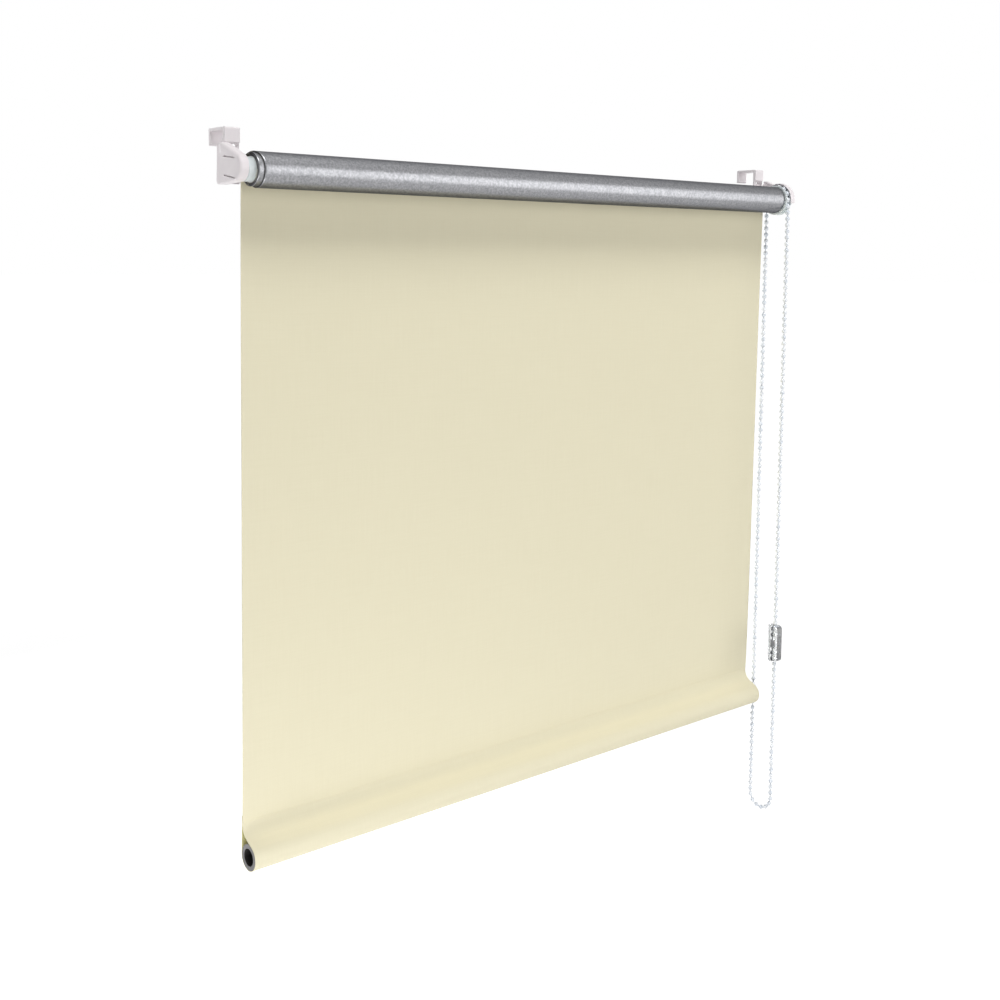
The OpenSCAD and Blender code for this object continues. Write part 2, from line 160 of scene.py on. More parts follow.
floor_mesh = bpy.data.meshes.new("floor")
floor_mesh.from_pydata(
    [(-floor_half, -floor_half, floor_z), (floor_half, -floor_half, floor_z),
     (floor_half, floor_half, floor_z), (-floor_half, floor_half, floor_z)],
    [], [(0, 1, 2, 3)])
floor = bpy.data.objects.new("floor", floor_mesh)
scene.collection.objects.link(floor)
floor_paint, paint_tree, paint = new_finish(
    "pale_floor_paint", Base_Color=(0.82, 0.82, 0.82, 1), Roughness=0.9,
    Specular_IOR_Level=0, Emission_Color=(1, 1, 1, 1))
floor_reach = paint_tree.nodes.new("ShaderNodeVectorMath")
floor_reach.operation = "LENGTH"
link(paint_tree, object_place(paint_tree), floor_reach.inputs[0])
floor_level = spread(
    paint_tree, floor_reach.outputs["Value"], floor_glow_near, floor_glow_far,
    from_low=floor_glow_start, from_high=floor_glow_end)
floor_glow = combined(paint_tree, "MULTIPLY", seen_directly(paint_tree), floor_level)
link(paint_tree, floor_glow, paint.inputs["Emission Strength"])
floor_mesh.materials.append(floor_paint)


def soft_lamp(name, place, aim, width, height, power):
    """A rectangular soft box at a place, turned to face a point."""
    data = bpy.data.lights.new(name, "AREA")
    data.shape = "RECTANGLE"
    data.size = width
    data.size_y = height
    data.energy = power
    lamp = bpy.data.objects.new(name, data)
    lamp.location = place
    away = [b - a for a, b in zip(place, aim)]
    turn = math.atan2(-away[0], away[1])
    tilt = math.atan2(away[2], math.hypot(away[0], away[1]))
    lamp.rotation_euler = (math.radians(90) + tilt, 0, turn)
    scene.collection.objects.link(lamp)


soft_lamp("tall_front_lamp", place=(1.88, -2.03, 0.13), aim=(0.28, -0.03, -0.12),
          width=2.10, height=1.85, power=31.5)
soft_lamp("overhead_lamp", place=(0.05, -0.98, 2.11), aim=(0.27, -0.03, -0.15),
          width=1.33, height=0.70, power=40)
soft_lamp("low_front_lamp", place=(-0.25, -0.50, -0.93), aim=(0.10, -0.02, -0.45),
          width=1.0, height=0.25, power=3.6)
soft_lamp("left_end_lamp", place=(-1.30, -0.16, 0.04), aim=(0, -0.03, -0.10),
          width=0.6, height=0.6, power=5.6)
soft_lamp("back_lamp", place=(0.10, 1.90, 0.25), aim=(0.28, -0.03, -0.25),
          width=1.4, height=1.0, power=20)


# Hooks and bracket bases. Injection moulded in one satin white plastic: each hook slips over
# the sash, and the base behind each cover is screwed to the hook's tongue.
mm = 0.001
plastic_edge = 0.3 * mm
merge_distance = 0.001 * mm
flat_angle = 0.6
sharp_angle = 38


def noise_field(tree, coordinates, scale, detail=2.0, roughness=0.5):
    field = tree.nodes.new("ShaderNodeTexNoise")
    field.inputs["Scale"].default_value = scale
    field.inputs["Detail"].default_value = detail
    field.inputs["Roughness"].default_value = roughness
    link(tree, coordinates, field.inputs["Vector"])
    return field.outputs["Fac"]


def between(tree, share, first, second):
    """A colour between two others."""
    node = tree.nodes.new("ShaderNodeMix")
    node.data_type = "RGBA"
    for socket, colour in ((6, first), (7, second)):
        if isinstance(colour, tuple):
            node.inputs[socket].default_value = (*colour, 1)
        else:
            link(tree, colour, node.inputs[socket])
    link(tree, share, node.inputs[0])
    return node.outputs[2]


def tint(tree, shader, field, pale, deep):
    """Colours a finish between two tones, as a field runs."""
    tone = between(tree, spread(tree, field, 0, 1), pale, deep)
    link(tree, tone, shader.inputs["Base Color"])


def roughen(tree, shader, field, low, high):
    """Makes a finish duller and glossier, as a field runs."""
    link(tree, spread(tree, field, low, high), shader.inputs["Roughness"])


def surface_relief(tree, shader, height, strength, depth):
    node = tree.nodes.new("ShaderNodeBump")
    node.inputs["Strength"].default_value = strength
    node.inputs["Distance"].default_value = depth
    link(tree, height, node.inputs["Height"])
    link(tree, node.outputs["Normal"], shader.inputs["Normal"])


def moulded_plastic(name, pale, deep, rough, grain_scale, **constants):
    """Plastic from a mould: cloudy colour, a fine spark-eroded grain, and uneven gloss."""
    material, tree, shader = new_finish(name, **constants)
    place = object_place(tree)
    tint(tree, shader, noise_field(tree, place, scale=70, detail=3), pale, deep)
    roughen(tree, shader, noise_field(tree, place, scale=240), *rough)
    grain = noise_field(tree, place, grain_scale)
    surface_relief(tree, shader, grain, strength=0.12, depth=0.05 * mm)
    return material


bracket_plastic = moulded_plastic(
    "satin_white_plastic", pale=(0.91, 0.86, 0.875), deep=(0.865, 0.81, 0.83),
    rough=(0.34, 0.48), grain_scale=2600)


def made_mesh(shape, name):
    """Turns a finished bmesh into a named mesh."""
    mesh = bpy.data.meshes.new(name)
    shape.to_mesh(mesh)
    shape.free()
    return mesh


def place_piece(name, mesh, *materials):
    piece = bpy.data.objects.new(name, mesh)
    scene.collection.objects.link(piece)
    for material in materials:
        mesh.materials.append(material)
    return piece


def plain_mesh(piece):
    """Turns a piece's modifiers into a plain mesh on the same object."""
    graph = bpy.context.evaluated_depsgraph_get()
    mesh = bpy.data.meshes.new_from_object(piece.evaluated_get(graph), depsgraph=graph)
    old = piece.data
    piece.modifiers.clear()
    piece.data = mesh
    bpy.data.meshes.remove(old)


def even_shading(piece):
    """Smooth shading that keeps flat faces flat beside rounded edges."""
    for face in piece.data.polygons:
        face.use_smooth = True
    weights = piece.modifiers.new("flat faces stay flat", "WEIGHTED_NORMAL")
    weights.keep_sharp = False
    weights.weight = 60
    plain_mesh(piece)


def round_sharp_edges(shape, edge, steps, limit):
    """Rounds the edges where two faces meet at more than a limit, in degrees."""
    sharp = [e for e in shape.edges
             if len(e.link_faces) == 2 and e.calc_face_angle() > math.radians(limit)]
    bmesh.ops.bevel(
        shape, geom=sharp, offset=edge, segments=steps, profile=0.5,
        affect="EDGES", clamp_overlap=True)


def rounded_copy(node, edge, material, steps=3):
    """A copy of a CAD node with its sharp edges rounded, which stands for the node."""
    shape = bmesh.new()
    shape.from_mesh(frame["nodes"][node].data)
    bmesh.ops.remove_doubles(shape, verts=shape.verts, dist=merge_distance)
    bmesh.ops.dissolve_limit(
        shape, angle_limit=math.radians(flat_angle), verts=shape.verts, edges=shape.edges)
    round_sharp_edges(shape, edge, steps, sharp_angle)
    piece = place_piece("rounded_" + node, made_mesh(shape, node + "_rounded"), material)
    even_shading(piece)
    body = frame["nodes"][node]["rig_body"]
    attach(piece, body)
    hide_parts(node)
    return piece


for side in ("left", "right"):
    hook = rounded_copy(side + "_clip_hook", plastic_edge, bracket_plastic)
    base = rounded_copy(side + "_bracket_base", plastic_edge, bracket_plastic)


# Screws. Steel with a zinc plate, turned and slotted: one in each base's flange, driven into
# the hook's tongue.
screw_edge = 0.12 * mm


def plated_steel(name, pale, deep):
    material, tree, shader = new_finish(name, Metallic=1.0)
    place = object_place(tree)
    tint(tree, shader, noise_field(tree, place, scale=320, detail=3), pale, deep)
    streak = noise_field(tree, place, scale=1500)
    roughen(tree, shader, streak, 0.22, 0.42)
    surface_relief(tree, shader, streak, strength=0.08, depth=0.04 * mm)
    return material


zinc_steel = plated_steel(
    "zinc_plated_steel", pale=(0.66, 0.67, 0.70), deep=(0.52, 0.53, 0.55))
screws = rounded_copy("bracket_screws", screw_edge, zinc_steel, steps=2)


# Bracket covers. A thin satin shell snaps over each base: a big round nose toward the room,
# a soft outer edge, two grooves across the face, and a lower band along its back.
tube_low, tube_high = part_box("roller_tube")
axis_y = (tube_low[1] + tube_high[1]) / 2
axis_z = (tube_low[2] + tube_high[2]) / 2
cover_outer_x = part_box("left_bracket_cover")[0][0]
cover_inner_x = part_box("left_bracket_cover")[1][0]
blind_middle_x = (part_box("left_clip_hook")[0][0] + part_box("right_clip_hook")[1][0]) / 2
cover_wall = 1.5 * mm
cover_round = 2.0 * mm
cover_round_steps = 8
cover_crown = 0.25 * mm
cover_crown_shares = (0.85, 0.6, 0.3)
cover_corners = [(0.5 * mm, 1 * mm, 9.5 * mm), (20 * mm, 14 * mm, 5 * mm),
                 (23 * mm, -7 * mm, 3 * mm)]
cover_edge = 0.2 * mm
cover_sharp_angle = 40
cover_merge_distance = 0.002 * mm
flange_front_y = 21.65 * mm
flange_room = 10 * mm
band_front_y = 19.5 * mm
band_step = 0.5 * mm
groove_length = 15.5 * mm
groove_width = 0.85 * mm
groove_depth = 2.0 * mm
groove_end_steps = 8
groove_middle_y = 6.6 * mm
groove_places = [(8.0 * mm, 7.0), (-5.2 * mm, 9.5)]
cutter_lead = 2 * mm
cutter_reach = 60 * mm


def cover_ring(inset, count=144):
    """The cover's outline about the roller's axis, drawn in by an inset."""
    ring = []
    for i in range(count):
        angle = 2 * math.pi * i / count
        across, up = math.cos(angle), math.sin(angle)
        y, z, r = max(cover_corners, key=lambda c: c[0] * across + c[1] * up + c[2])
        ring.append((axis_y + y + (r - inset) * across, axis_z + z + (r - inset) * up))
    return ring


def stacked_rings(rings, name):
    """A closed solid through rings of (y, z) points at given x places."""
    shape = bmesh.new()
    rows = [[shape.verts.new((x, y, z)) for y, z in ring] for x, ring in rings]
    count = len(rows[0])
    for lower, upper in zip(rows, rows[1:]):
        for i in range(count):
            j = (i + 1) % count
            shape.faces.new((lower[i], lower[j], upper[j], upper[i]))
    shape.faces.new(rows[0][::-1])
    shape.faces.new(rows[-1])
    bmesh.ops.recalc_face_normals(shape, faces=shape.faces)
    return made_mesh(shape, name)


def block(name, low, high):
    """A box between two corners."""
    shape = bmesh.new()
    bmesh.ops.create_cube(shape, size=1)
    for v in shape.verts:
        v.co = [a + (b - a) * (c + 0.5) for a, b, c in zip(low, high, v.co)]
    return made_mesh(shape, name)


def groove_cutter(name, up, turn):
    """A slot with round ends, to cut across the cover's face."""
    half = (groove_length - groove_width) / 2
    outline = []
    for end in (1, -1):
        for i in range(groove_end_steps + 1):
            angle = math.pi * (i / groove_end_steps - 0.5) + (0 if end == 1 else math.pi)
            outline.append((end * half + groove_width / 2 * math.cos(angle),
                            groove_width / 2 * math.sin(angle)))
    cos, sin = math.cos(math.radians(turn)), math.sin(math.radians(turn))
    turned = [(axis_y + groove_middle_y + y * cos - z * sin, axis_z + up + y * sin + z * cos)
              for y, z in outline]
    return stacked_rings(
        [(cover_outer_x - cutter_lead, turned), (cover_outer_x + groove_depth, turned)], name)


def left_cover_mesh():
    """The left shell: a rounded blank, hollowed, stepped at its back and grooved."""
    rings = [(cover_inner_x, cover_ring(0))]
    for i in range(cover_round_steps + 1):
        angle = math.pi / 2 * i / cover_round_steps
        rings.append((cover_outer_x + cover_crown + cover_round * (1 - math.sin(angle)),
                      cover_ring(cover_round * (1 - math.cos(angle)))))
    face = rings[-1][1]
    middle = [sum(p[k] for p in face) / len(face) for k in (0, 1)]
    for share in cover_crown_shares:
        rise = cover_crown * (1 - share * share)
        rings.append((cover_outer_x + cover_crown - rise,
                      [(middle[0] + (y - middle[0]) * share, middle[1] + (z - middle[1]) * share)
                       for y, z in face]))
    cover = place_piece("cover_blank", stacked_rings(rings, "cover_blank"))
    wall_x = cover_outer_x + cover_wall
    band_x = cover_outer_x + band_step + cover_crown
    low_z, high_z = axis_z - cutter_reach, axis_z + cutter_reach
    far_y = axis_y + cutter_reach
    cutters = [
        stacked_rings([(wall_x, cover_ring(cover_wall)),
                       (cover_inner_x + 1 * mm, cover_ring(cover_wall))], "cover_hollow"),
        block("flange_room", (wall_x, axis_y + flange_front_y, low_z),
              (wall_x + flange_room, far_y, high_z)),
        block("back_band", (cover_outer_x - cutter_lead, axis_y + band_front_y, low_z),
              (band_x, far_y, high_z)),
    ]
    cutters += [groove_cutter("groove_%d" % i, up, turn)
                for i, (up, turn) in enumerate(groove_places)]
    tools = []
    for cutter in cutters:
        tool = place_piece(cutter.name, cutter)
        tools.append(tool)
        cut = cover.modifiers.new(cutter.name, "BOOLEAN")
        cut.operation = "DIFFERENCE"
        cut.solver = "EXACT"
        cut.object = tool
    plain_mesh(cover)
    for tool in tools:
        bpy.data.objects.remove(tool)
    shape = bmesh.new()
    shape.from_mesh(cover.data)
    bpy.data.objects.remove(cover)
    bmesh.ops.remove_doubles(shape, verts=shape.verts, dist=cover_merge_distance)
    round_sharp_edges(shape, cover_edge, 2, cover_sharp_angle)
    return made_mesh(shape, "left_cover")


def mirrored(mesh, name):
    """The same piece for the chain side."""
    shape = bmesh.new()
    shape.from_mesh(mesh)
    for v in shape.verts:
        v.co.x = 2 * blind_middle_x - v.co.x
    bmesh.ops.reverse_faces(shape, faces=shape.faces)
    return made_mesh(shape, name)


left_shell = left_cover_mesh()
right_shell = mirrored(left_shell, "right_cover")
for side, shell in (("left", left_shell), ("right", right_shell)):
    cover = place_piece(side + "_cover_shell", shell, bracket_plastic)
    even_shading(cover)
    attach(cover, "frame")
    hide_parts(side + "_bracket_cover")


# Roller tube and what it turns on. A thin extruded aluminium tube, a sprung steel pin in its
# left end, and a moulded plug, axle and wrap springs in its right end.
disc_edge = 0.35 * mm


def drawn_aluminium(name, pale, deep):
    """Extruded metal with fine lines along its length."""
    material, tree, shader = new_finish(name, Metallic=1.0)
    place = tree.nodes.new("ShaderNodeMapping")
    place.inputs["Scale"].default_value = (0.02, 1, 1)
    link(tree, object_place(tree), place.inputs["Vector"])
    lines = noise_field(tree, place.outputs[0], scale=1800, detail=3)
    tint(tree, shader, lines, pale, deep)
    roughen(tree, shader, lines, 0.3, 0.5)
    surface_relief(tree, shader, lines, strength=0.1, depth=0.03 * mm)
    return material


def refinish(node, material):
    """Gives a CAD node that stays in sight a finish of its own."""
    slots = frame["nodes"][node].data.materials
    slots.clear()
    slots.append(material)


mill_aluminium = drawn_aluminium(
    "mill_aluminium", pale=(0.80, 0.81, 0.82), deep=(0.68, 0.69, 0.71))
for node in ("roller_tube", "hem_bar"):
    refinish(node, mill_aluminium)
for node in ("idle_pin", "brake_springs"):
    refinish(node, zinc_steel)
spring_mesh = frame["nodes"]["idle_pin_spring"].data.copy()
spring_mesh.materials.clear()
spring_coil = place_piece("idle_spring_coil", spring_mesh, zinc_steel)
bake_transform(spring_coil)
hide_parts("idle_pin_spring")
milky_plastic = moulded_plastic(
    "milky_plug_plastic", pale=(0.84, 0.90, 0.91), deep=(0.76, 0.83, 0.85),
    rough=(0.14, 0.26), grain_scale=3200,
    Subsurface_Weight=0.45, Subsurface_Scale=0.004, Subsurface_Radius=(1, 1, 1))
refinish("drive_plug", milky_plastic)
refinish("brake_core", bracket_plastic)
idle_disc = rounded_copy("idle_end_plug", disc_edge, milky_plastic)


# Wound cloth. One strip of cream cloth with a grainy silver coat on its outer side, wound
# seven and a half turns on the tube, its edges a little uneven where the turns end.
cloth_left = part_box("fabric_roll")[0][0]
cloth_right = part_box("fabric_roll")[1][0]
cloth_thickness = 0.42 * mm
turn_step = 0.45 * mm
first_turn_radius = 9.05 * mm
turn_count = 8
steps_per_half = 48
roll_columns = 12
roll_margins = (1.2 * mm, 4 * mm)
edge_wander = 0.14 * mm
end_setback = 4.6 * mm
setback_from_turn = 5.4
setback_ease_in, setback_ease_out = 0.35, 0.5


def silver_coat():
    """Aluminium-filled coating on cloth: dull metal with a sparkling grain."""
    material, tree, shader = new_finish(
        "grainy_silver_coat", Metallic=0.85, Specular_Tint=(0.15, 0.15, 0.16, 1))
    place = object_place(tree)
    grain = noise_field(tree, place, scale=620, detail=3, roughness=0.6)
    fine = noise_field(tree, place, scale=1900)
    cloud = noise_field(tree, place, scale=26)
    speckle = between(
        tree, spread(tree, grain, 0, 1, from_low=0.36, from_high=0.66),
        (0.200, 0.202, 0.213), (0.322, 0.324, 0.336))
    tone = between(tree, spread(tree, cloud, 0, 0.2), speckle, (0.260, 0.262, 0.273))
    link(tree, tone, shader.inputs["Base Color"])
    roughen(tree, shader, fine, 0.28, 0.37)
    surface_relief(tree, shader, grain, strength=0.12, depth=0.15 * mm)
    return material


def plain_weave(tree, warp, weft):
    """Height of a plain weave on the piece's own UV map, which is laid out in metres. At a
    scale of 1, a wave texture runs 20 radians in each unit."""
    place = tree.nodes.new("ShaderNodeTexCoord").outputs["UV"]
    waves = []
    for direction, period in (("X", warp), ("Y", weft)):
        wave = tree.nodes.new("ShaderNodeTexWave")
        wave.bands_direction = direction
        wave.inputs["Scale"].default_value = 2 * math.pi / (20 * period)
        wave.inputs["Distortion"].default_value = 0.6
        wave.inputs["Detail Scale"].default_value = 0.3
        link(tree, place, wave.inputs["Vector"])
        waves.append(wave.outputs["Fac"])
    return place, combined(tree, "MULTIPLY", *waves)


def cream_cloth(name, pale, deep):
    """Polyester cloth in a fine plain weave, with thicker and thinner threads, and painted shade
    in the weave's hollows.
    """
    material, tree, shader = new_finish(
        name, Roughness=0.82, Sheen_Weight=0.06, Specular_IOR_Level=0.25)
    place, weave = plain_weave(tree, warp=0.55 * mm, weft=0.6 * mm)
    slubs = []
    for stretch in ((1, 0.03, 1), (0.03, 1, 1)):
        along = tree.nodes.new("ShaderNodeMapping")
        along.inputs["Scale"].default_value = stretch
        link(tree, place, along.inputs["Vector"])
        slubs.append(noise_field(tree, along.outputs[0], scale=900))
    threads = combined(tree, "ADD", *slubs)
    tone = between(
        tree, spread(tree, threads, 0, 1, from_low=0.75, from_high=1.25), pale, deep)
    # Painted shade: the colour goes up to a tenth of the way toward dark olive where the weave
    # lies low.
    weave_painted_shade = spread(tree, weave, 0.10, 0, from_low=0.1, from_high=0.6)
    link(tree, between(tree, weave_painted_shade, tone, (0.70, 0.65, 0.46)), shader.inputs["Base Color"])
    surface_relief(tree, shader, weave, strength=0.25, depth=0.08 * mm)
    return material


coat = silver_coat()
cloth = cream_cloth("cream_weave", pale=(0.846, 0.793, 0.590), deep=(0.832, 0.778, 0.574))
# Painted shade: the roll's cut edges are coloured near black, darker than the cloth, to stand for
# the shade on the roll's end.
edge_painted_shade = moulded_plastic(
    "cut_cloth_edge", pale=(0.050, 0.050, 0.053), deep=(0.020, 0.020, 0.022),
    rough=(0.5, 0.65), grain_scale=1500, Specular_IOR_Level=0.2)


def spiral_place(k, upper, share):
    """A point on the strip's outer side, from the roller's axis, in its k-th half turn."""
    if upper:
        radius, middle = first_turn_radius + k * turn_step, 0
        angle = math.pi * (1 - share)
    else:
        radius, middle = first_turn_radius + (k - 0.5) * turn_step, -turn_step / 2
        angle = -math.pi * share
    radius += cloth_thickness
    return middle + radius * math.cos(angle), radius * math.sin(angle)


def swept_sheet(name, points, left, right, columns, margins):
    """A grid swept along X through (y, z) points, with UVs in metres; left and right give
    each row's ends, and margins the narrow columns there, which keep the cut edge's shading
    off the cloth. Faces look to the left of the way the points run, seen from +X."""
    edges = [m / (cloth_right - cloth_left) for m in margins]
    inner = [c / columns for c in range(1, columns)]
    shares = [0, *edges, *inner, *(1 - e for e in edges[::-1]), 1]
    shape = bmesh.new()
    layer = shape.loops.layers.uv.new("cloth")
    lengths = [0.0]
    for a, b in zip(points, points[1:]):
        lengths.append(lengths[-1] + math.dist(a, b))
    rows = []
    for i, (y, z) in enumerate(points):
        ends = left(i), right(i)
        rows.append([shape.verts.new((ends[0] + (ends[1] - ends[0]) * share, y, z))
                     for share in shares])
    for i, (lower, upper) in enumerate(zip(rows, rows[1:])):
        for c in range(len(shares) - 1):
            face = shape.faces.new((lower[c], lower[c + 1], upper[c + 1], upper[c]))
            face.smooth = True
            for loop, row in zip(face.loops, (i, i, i + 1, i + 1)):
                loop[layer].uv = (loop.vert.co.x, lengths[row])
    return made_mesh(shape, name)


def thicken(piece, offset):
    """Gives drawn cloth its thickness; the second material goes on its back, the third on its
    cut edges."""
    thickness = piece.modifiers.new("cloth thickness", "SOLIDIFY")
    thickness.thickness = cloth_thickness
    thickness.offset = offset
    thickness.material_offset = 1
    thickness.material_offset_rim = 2


roll_points = []
half_turn = [i / steps_per_half for i in range(steps_per_half)]
for k in range(turn_count):
    if k:
        roll_points += [spiral_place(k, False, share) for share in half_turn]
    roll_points += [spiral_place(k, True, share) for share in half_turn]
roll_points.append(spiral_place(turn_count - 1, True, 1))
roll_points = [(axis_y + y, axis_z + z) for y, z in roll_points]


def uneven(i, phase):
    """How far a turn's edge lies back from the cloth's full width."""
    turn = i / (2 * steps_per_half)
    return edge_wander * (1 + math.sin(2.3 * turn + phase)) * (0.6 + 0.4 * math.sin(0.9 * turn))


def ramp(value):
    """Eases from 0 to 1."""
    value = min(max(value, 0), 1)
    return value * value * (3 - 2 * value)


def set_back(i):
    """How far the last two turns lie back at the left end, where the sheet drifted as it
    was wound; the turn under them shows as a silver step."""
    turn = i / (2 * steps_per_half)
    ease_in = ramp((turn - setback_from_turn) / setback_ease_in)
    return end_setback * ease_in * ramp((turn_count - 0.5 - turn) / setback_ease_out)


roll_mesh = swept_sheet(
    "wound_cloth", roll_points, lambda i: cloth_left + abs(uneven(i, 0.4)) + set_back(i),
    lambda i: cloth_right - abs(uneven(i, 2.1)), roll_columns, roll_margins)
wound_cloth = place_piece("wound_cloth", roll_mesh, coat, cloth, edge_painted_shade)
thicken(wound_cloth, offset=-1)
plain_mesh(wound_cloth)
for face in wound_cloth.data.polygons:
    face.use_smooth = face.material_index != 2
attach(wound_cloth, "roller")
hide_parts("fabric_roll")


# Chain wheel and guard. The wheel is moulded in milky plastic with a pocket for each bead,
# and the guard's thin lip on the right base keeps the beads in the pockets.
wheel_edge = 0.25 * mm
guard_edge = 0.2 * mm
wheel = rounded_copy("chain_wheel", wheel_edge, milky_plastic, steps=2)
guard = rounded_copy("chain_guard", guard_edge, bracket_plastic, steps=2)


# Hanging sheet. The same strip leaves the back of the roll and hangs free, cream side to the
# room; it is cut to width with heat, and the hem draws its foot toward the window.
drop_length = 467 * mm
sheet_lean = 6.5 * mm
sheet_top_y = axis_y + 12.41 * mm
sheet_tuck = 0.3 * mm
sheet_rows = 96
sheet_columns = 48
sheet_margins = (0.5 * mm,)


def sheet_place(share):
    """A point down the sheet, where it leans by a smooth S."""
    lean = 0.5 - math.sin(math.asin(1 - 2 * share) / 3)
    return sheet_top_y + sheet_lean * lean, axis_z - drop_length * share


sheet_points = [(sheet_top_y, axis_z + sheet_tuck)]
sheet_points += [sheet_place((1 - math.cos(math.pi * i / sheet_rows)) / 2)
                 for i in range(sheet_rows + 1)]
sheet_mesh = swept_sheet("hanging_sheet", sheet_points[::-1], lambda i: cloth_left,
                         lambda i: cloth_right, sheet_columns, sheet_margins)
hanging_sheet = place_piece("hanging_sheet", sheet_mesh, cloth, coat, cloth)
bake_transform(hanging_sheet)
thicken(hanging_sheet, offset=0)
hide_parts("fabric_drop")


# Hem pocket. The foot of the sheet is turned back round the bar and welded to itself, so the
# pocket hangs as a drop; its inner side has no silver coat and is a yellower cream, painted
# brighter than the cloth is, as painted light in the pocket's shade.
bar_y = axis_y + 10.41 * mm
bar_z = axis_z - 490 * mm
pocket_radius = 10.02 * mm
seam_y = sheet_top_y + sheet_lean
seam_z = axis_z - drop_length
seam_tuck_y, seam_tuck_z = 0.1 * mm, 0.4 * mm
weld_height = 5 * mm
bend_length = 8 * mm
bend_steps = 8
pocket_steps = 64
# Painted light: this yellower cream is brighter than the real cloth, to light the shaded inside
# of the pocket.
inner_painted_light_cloth = cream_cloth(
    "uncoated_inner_cloth", pale=(0.93, 0.89, 0.48), deep=(0.89, 0.84, 0.42))


def tangent_angle(y, z, side):
    """Angle on the pocket's round part where a line from a point above it meets it."""
    away = math.hypot(y - bar_y, z - bar_z)
    return math.atan2(z - bar_z, y - bar_y) + side * math.acos(pocket_radius / away)


def on_pocket(angle):
    return bar_y + pocket_radius * math.cos(angle), bar_z + pocket_radius * math.sin(angle)


front_y = seam_y - cloth_thickness / 2
back_y = seam_y + 1.5 * cloth_thickness
bend_top = (front_y, seam_z)
bend_corner = (front_y, seam_z - bend_length)
first_angle = tangent_angle(*bend_corner, 1)
last_angle = tangent_angle(back_y, seam_z, -1) + 2 * math.pi
front_foot = on_pocket(first_angle)
bend_share = min(bend_length / math.dist(bend_corner, front_foot), 1)
bend_end = [a + (b - a) * bend_share for a, b in zip(bend_corner, front_foot)]
pocket_points = [(front_y + seam_tuck_y, seam_z + seam_tuck_z)]
for i in range(bend_steps + 1):
    t = i / bend_steps
    pocket_points.append(tuple(
        (1 - t) ** 2 * a + 2 * t * (1 - t) * b + t * t * c
        for a, b, c in zip(bend_top, bend_corner, bend_end)))
pocket_points += [on_pocket(first_angle + (last_angle - first_angle) * i / pocket_steps)
                  for i in range(pocket_steps + 1)]
pocket_points += [(back_y, seam_z), (back_y, seam_z + weld_height)]
pocket_mesh = swept_sheet("hem_cloth", pocket_points[::-1], lambda i: cloth_left,
                          lambda i: cloth_right, sheet_columns, sheet_margins)
hem_cloth = place_piece("hem_cloth", pocket_mesh, cloth, inner_painted_light_cloth, cloth)
thicken(hem_cloth, offset=-1)
plain_mesh(hem_cloth)
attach(hem_cloth, "hem")
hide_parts("hem_pocket")


# Hem bar caps. A grey moulded plug is pressed into each end of the bar; the faces in its deep
# recess are coloured near black, as painted shade.
cap_edge = 0.25 * mm
recess_radius = 6.4 * mm
recess_tolerance = 0.02 * mm
recess_start, recess_end = 0.3 * mm, 11 * mm
cap_plastic = moulded_plastic(
    "matte_grey_plastic", pale=(0.25, 0.242, 0.246), deep=(0.16, 0.155, 0.16),
    rough=(0.36, 0.52), grain_scale=2400)
recess_painted_shade = moulded_plastic(
    "dark_recess_plastic", pale=(0.035, 0.032, 0.031), deep=(0.018, 0.017, 0.016),
    rough=(0.5, 0.65), grain_scale=2400)
for side, mouth_x in (("left", cloth_left), ("right", cloth_right)):
    cap = rounded_copy(side + "_hem_cap", cap_edge, cap_plastic)
    # Painted shade: faces inside the recess take a near-black finish in place of the cap's grey.
    cap.data.materials.append(recess_painted_shade)
    for face in cap.data.polygons:
        x, y, z = face.center
        inside = math.hypot(y - bar_y, z - bar_z) < recess_radius + recess_tolerance
        if inside and recess_start < abs(x - mouth_x) < recess_end:
            face.material_index = 1


# Bead chain. Glossy plastic beads moulded on a polyester cord, joined into one loop by the
# connector; it hangs from the wheel's front and back and runs over its top.
bead_radius = 2.25 * mm
bead_pitch = 6 * mm
bead_sides = 12
bead_rings = 6
collar_radius = 0.85 * mm
collar_end = 2.45 * mm
cord_radius = 0.6 * mm
cord_sides = 8
wheel_pockets = 13
strand_pitches = 99
missing_beads = (72, 73)
tone_seed = 7
chain_x = (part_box("bead_chain")[0][0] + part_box("bead_chain")[1][0]) / 2
pitch_radius = bead_pitch / 2 / math.sin(math.pi / wheel_pockets)
strand_length = strand_pitches * bead_pitch

half_loop = [2 * math.pi * j / wheel_pockets for j in range(1, (wheel_pockets + 1) // 2)]
bead_places = [(-pitch_radius, -k * bead_pitch) for k in range(strand_pitches + 1)]
bead_places += [(-pitch_radius * math.cos(a), -strand_length - pitch_radius * math.sin(a))
                for a in half_loop]
bead_places += [(pitch_radius, -(k + 0.5) * bead_pitch)
                for k in reversed(range(strand_pitches))]
bead_places += [(-pitch_radius * math.cos(a), pitch_radius * math.sin(a))
                for a in reversed(half_loop)]
chain_path = [(chain_x, axis_y + y, axis_z + z) for y, z in bead_places]


def bead_form():
    """One bead about Z: a ball with a short collar at each end, where the cord enters."""
    profile = [(collar_radius, -collar_end)]
    collar_angle = math.asin(collar_radius / bead_radius)
    for i in range(bead_rings + 1):
        angle = collar_angle + (math.pi - 2 * collar_angle) * i / bead_rings
        profile.append((bead_radius * math.sin(angle), -bead_radius * math.cos(angle)))
    profile.append((collar_radius, collar_end))
    turns = [2 * math.pi * s / bead_sides for s in range(bead_sides)]
    shape = bmesh.new()
    rows = [[shape.verts.new((r * math.cos(a), r * math.sin(a), z)) for a in turns]
            for r, z in profile]
    for lower, upper in zip(rows, rows[1:]):
        for s in range(bead_sides):
            t = (s + 1) % bead_sides
            shape.faces.new((lower[s], lower[t], upper[t], upper[s])).smooth = True
    shape.faces.new(rows[0][::-1])
    shape.faces.new(rows[-1])
    return bpy.data.objects.new("bead_form", made_mesh(shape, "bead_form"))


